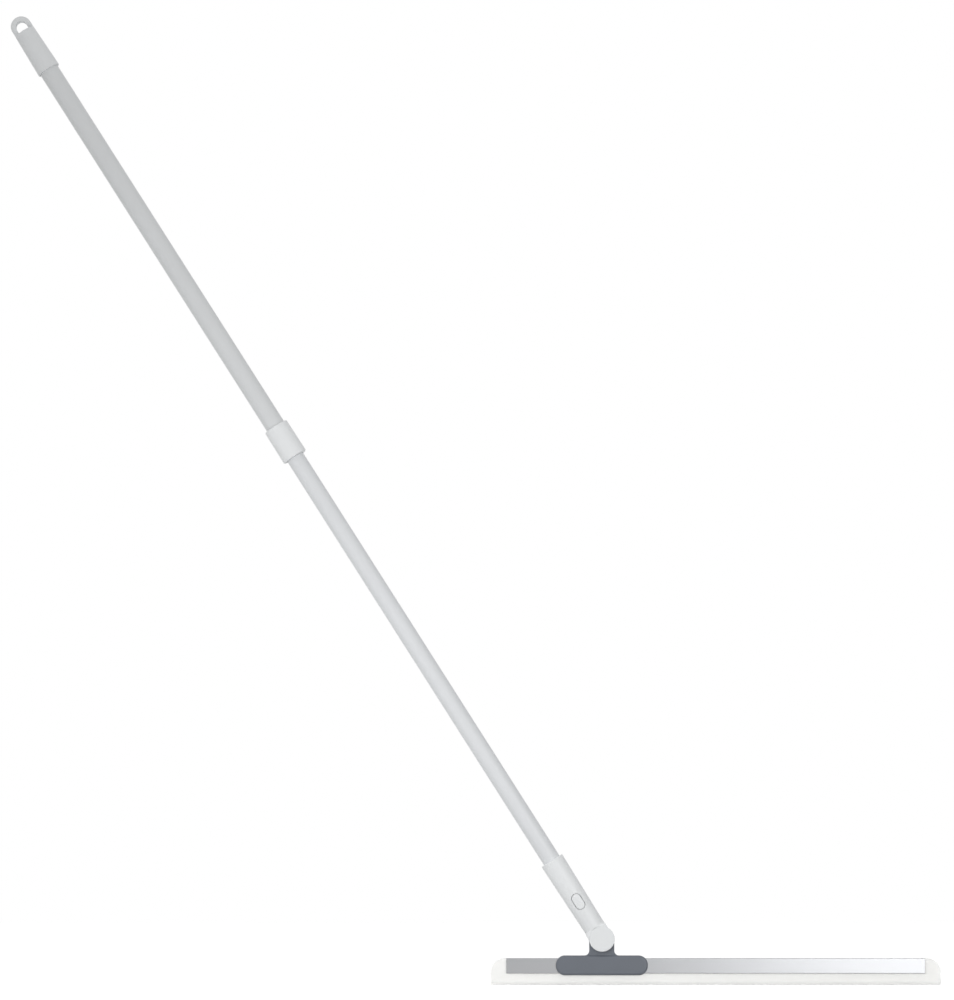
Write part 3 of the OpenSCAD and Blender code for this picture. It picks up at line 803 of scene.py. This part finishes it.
@dataclass
class LatchSpring:
    """Coil behind the button: one round wire."""

    centre_x: float
    centre_z: float
    front: float
    back: float
    outer: float
    travel: float
    wire: float = 0.6 * MM
    turns: int = 6
    ring_steps: int = 32
    wire_sides: int = 12

    @classmethod
    def from_frame(cls, node: bpy.types.Object, joints: list[dict]) -> "LatchSpring":
        """Read the coil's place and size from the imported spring, and its travel from the joint.

        Args:
            node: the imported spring.
            joints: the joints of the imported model.

        Returns:
            The spring.
        """
        low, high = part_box("button_spring")
        middle = (low + high) / 2
        outer = max(math.hypot(v.co.x - middle.x, v.co.z - middle.z) for v in node.data.vertices)
        travel = next(joint["range_m"][1] for joint in joints if joint["name"] == "button_press")
        return cls(middle.x, middle.z, low.y, high.y, outer, travel)

    def wire_point(self, turn: float, side: float) -> Vector:
        """Find a point on the wire's surface.

        Args:
            turn: turns from the front end.
            side: place round the wire, 0 to 1.

        Returns:
            The point.
        """
        round_coil, round_wire = math.tau * turn, math.tau * side
        reach = self.outer - self.wire / 2 * (1 - math.cos(round_wire))
        pitch = (self.back - self.front - self.wire) / self.turns
        return Vector((
            self.centre_x + reach * math.cos(round_coil),
            self.front + self.wire / 2 * (1 + math.sin(round_wire)) + pitch * turn,
            self.centre_z + reach * math.sin(round_coil),
        ))

    def build(self, finishes: Finishes) -> bpy.types.Object:
        """Sweep the wire along the coil into one closed mesh.

        Args:
            finishes: the finishes.

        Returns:
            The spring's object.
        """
        mesh = bmesh.new()
        rings = []
        for step in range(self.turns * self.ring_steps + 1):
            turn = step / self.ring_steps
            rings.append([mesh.verts.new(self.wire_point(turn, side / self.wire_sides))
                          for side in range(self.wire_sides)])
        for near, far in zip(rings, rings[1:]):
            for k in range(self.wire_sides):
                after = (k + 1) % self.wire_sides
                mesh.faces.new((near[k], near[after], far[after], far[k])).smooth = True
        for end in (rings[0], rings[-1]):
            mesh.faces.new(end)
        bmesh.ops.recalc_face_normals(mesh, faces=mesh.faces)
        return new_piece("latch_spring", mesh, finishes.steel)

    def fit(self, finishes: Finishes) -> None:
        """Build the spring and hang it on the lower pole.

        Args:
            finishes: the finishes.
        """
        piece = self.build(finishes)
        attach(piece, "lower_pole")
        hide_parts("button_spring")
        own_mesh(piece)
        LOG.info("built %s with %d faces", piece.name, len(piece.data.polygons))


@dataclass
class SubAssembly:
    """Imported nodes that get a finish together."""

    nodes: dict[str, bpy.types.Object]

    def dress(self, material: bpy.types.Material, *names: str) -> None:
        """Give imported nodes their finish.

        Args:
            material: the finish.
            names: the nodes to dress.
        """
        for name in names:
            slots = self.nodes[name].data.materials
            slots.clear()
            slots.append(material)
            LOG.info("dressed %s with %s", name, material.name)


@dataclass
class Head(SubAssembly):
    """Blade and rail."""

    def fit(self, finishes: Finishes) -> None:
        """Dress the rail and fit the blade."""
        self.dress(finishes.rail, "rail")
        Blade.from_frame().fit(finishes)


@dataclass
class Slider(SubAssembly):
    """Carriage with its liners and bush."""

    def fit(self, finishes: Finishes) -> None:
        """Dress the carriage's pieces."""
        self.dress(finishes.slate, "carriage")
        self.dress(finishes.natural, "glide_liners", "pivot_bush")


@dataclass
class LowerPole(SubAssembly):
    """Socket, knuckle, latch and lower tube."""

    joints: list[dict]

    def fit(self, finishes: Finishes) -> None:
        """Dress the pieces of the lower pole and fit the latch's spring.

        Args:
            finishes: the finishes.
        """
        self.dress(finishes.white, "knuckle_socket", "front_cap", "rear_cap", "latch_button")
        self.dress(finishes.steel, "pivot_bolt", "pivot_nut", "spring_washer", "plug_pin")
        LatchSpring.from_frame(self.nodes["button_spring"], self.joints).fit(finishes)
        self.dress(finishes.natural, "friction_washers", "tube_plug", "guide_plug")
        self.dress(finishes.lower_tube, "lower_tube")


@dataclass
class UpperPole(SubAssembly):
    """Upper tube, lock and end cap."""

    def fit(self, finishes: Finishes) -> None:
        """Dress the pieces of the upper pole.

        Args:
            finishes: the finishes.
        """
        self.dress(finishes.upper_tube, "upper_tube")
        self.dress(finishes.white, "lock_collar")
        self.dress(finishes.natural, "collet_sleeve")
        self.dress(finishes.cap, "end_cap")


@dataclass(frozen=True)
class Softbox:
    """A square studio lamp that the camera doesn't see."""

    name: str
    place: Point3
    aim: Point3
    size: float
    power: float
    diffuse: bool = True
    glossy: bool = True

    def build(self) -> None:
        """Hang the lamp and turn it to its aim."""
        lamp = bpy.data.lights.new(self.name, "AREA")
        lamp.shape = "SQUARE"
        lamp.size = self.size
        lamp.energy = self.power
        piece = bpy.data.objects.new(self.name, lamp)
        piece.location = self.place
        beam = Vector(self.aim) - Vector(self.place)
        piece.rotation_euler = beam.to_track_quat("-Z", "Y").to_euler()
        piece.visible_camera = False
        piece.visible_diffuse = self.diffuse
        piece.visible_glossy = self.glossy
        bpy.context.scene.collection.objects.link(piece)


@dataclass
class Studio:
    """Pale floor in a white surround, soft light and the camera.

    The key lights the object from low on the left. The rail mirrors the card on the right, which
    lights nothing else. Lens and sensor are in millimetres.
    """

    distance: float = 4.5
    eye_height: float = 0.1008
    aim_x: float = -0.260
    aim_z: float = 0.5306
    focal_length: float = 147.7
    sensor: float = 36.0
    ambient: float = 0.74
    floor_radius: float = 9.0
    floor_sides: int = 96
    floor_bounce: float = 0.55
    floor_matt: float = 0.5
    floor_glow: float = 0.66
    floor_clear: float = 0.5
    key: Softbox = Softbox("key", place=(-0.58, -1.0, 0.1), aim=(-0.1, 0.0, 0.1),
                           size=0.6, power=6.9, glossy=False)
    rail_card: Softbox = Softbox("rail_card", place=(0.5, -1.15, 0.1), aim=(0.12, 0.0, 0.02),
                                 size=0.8, power=9.2, diffuse=False)

    @staticmethod
    def _seen(graph: Graph) -> bpy.types.NodeSocket:
        """Pick out the rays that show the background.

        Args:
            graph: the graph of the floor's material or of the world.

        Returns:
            1 for camera, glossy and transmission rays, and 0 for rays that only carry light.
        """
        path = graph.add("ShaderNodeLightPath")
        pair = graph.math("MAXIMUM", path.outputs["Is Camera Ray"], path.outputs["Is Glossy Ray"])
        return graph.math("MAXIMUM", pair, path.outputs["Is Transmission Ray"])

    def build_world(self) -> None:
        """Make a white surround that lights the object softly."""
        world = bpy.data.worlds.new("studio")
        world.use_nodes = True
        graph = Graph(world.node_tree)
        world.node_tree.nodes.clear()
        shown = graph.add("ShaderNodeBackground")
        shown.inputs["Color"].default_value = WHITE_LIGHT
        shown.inputs["Strength"].default_value = 1.0
        light = graph.add("ShaderNodeBackground")
        light.inputs["Color"].default_value = WHITE_LIGHT
        light.inputs["Strength"].default_value = self.ambient
        mixed = graph.combine(
            "ShaderNodeMixShader", self._seen(graph), light.outputs[0], shown.outputs[0])
        graph.link(mixed, graph.add("ShaderNodeOutputWorld").inputs["Surface"])
        bpy.context.scene.world = world

    def floor_material(self) -> bpy.types.Material:
        """Make the white floor, which keeps a pale shadow.

        The camera sees half through it to the white below, so that a head that swings lower than
        the floor still shows. The glow is less by the same share, so the floor looks the same.

        Returns:
            The material.
        """
        material = bpy.data.materials.new("floor_white")
        material.use_nodes = True
        graph = Graph(material.node_tree)
        material.node_tree.nodes.clear()
        bounce = graph.add("ShaderNodeBsdfDiffuse")
        bounce.inputs["Color"].default_value = grey(self.floor_bounce)
        matt = graph.add("ShaderNodeBsdfDiffuse")
        matt.inputs["Color"].default_value = grey(self.floor_matt)
        path = graph.add("ShaderNodeLightPath")
        through = graph.math("MULTIPLY", path.outputs["Is Camera Ray"], self.floor_clear)
        clear = graph.add("ShaderNodeBsdfTransparent")
        graph.link(through, clear.inputs["Color"])
        glow = graph.add("ShaderNodeEmission")
        graph.link(graph.math("SUBTRACT", self.floor_glow, through), glow.inputs["Strength"])
        lit = graph.combine("ShaderNodeAddShader", matt.outputs[0], glow.outputs[0])
        shown = graph.combine("ShaderNodeAddShader", lit, clear.outputs[0])
        mixed = graph.combine("ShaderNodeMixShader", self._seen(graph), bounce.outputs[0], shown)
        graph.link(mixed, graph.add("ShaderNodeOutputMaterial").inputs["Surface"])
        return material

    def build_floor(self) -> None:
        """Make the floor: a wide disc that runs out into the white surround."""
        mesh = bmesh.new()
        bmesh.ops.create_circle(
            mesh, cap_ends=True, segments=self.floor_sides, radius=self.floor_radius)
        floor = new_piece("floor", mesh, self.floor_material())

    def build_camera(self) -> None:
        """Stand the camera where the photograph was taken from."""
        lens = bpy.data.cameras.new("camera")
        lens.sensor_width = self.sensor
        lens.lens = self.focal_length
        camera = bpy.data.objects.new("camera", lens)
        camera.location = (self.aim_x, -self.distance, self.eye_height)
        pitch = math.atan2(self.aim_z - self.eye_height, self.distance)
        camera.rotation_euler = (math.radians(90) + pitch, 0.0, 0.0)
        bpy.context.scene.collection.objects.link(camera)
        bpy.context.scene.camera = camera

    def build(self) -> None:
        """Set up the whole studio."""
        bpy.context.scene.view_settings.view_transform = "Standard"
        self.build_world()
        self.build_floor()
        self.key.build()
        self.rail_card.build()
        self.build_camera()


def main() -> None:
    """Load the frame, build the studio and fit every sub-assembly."""
    logging.basicConfig(level=logging.INFO, format="%(name)s: %(message)s")
    for piece in list(bpy.data.objects):
        bpy.data.objects.remove(piece)
    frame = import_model()
    finishes = Finishes(SharedEffects())
    nodes = frame["nodes"]
    Studio().build()
    lower_pole = LowerPole(nodes, frame["joints"])
    for assembly in (Head(nodes), Slider(nodes), lower_pole, UpperPole(nodes)):
        assembly.fit(finishes)


if __name__ == "__main__":
    main()
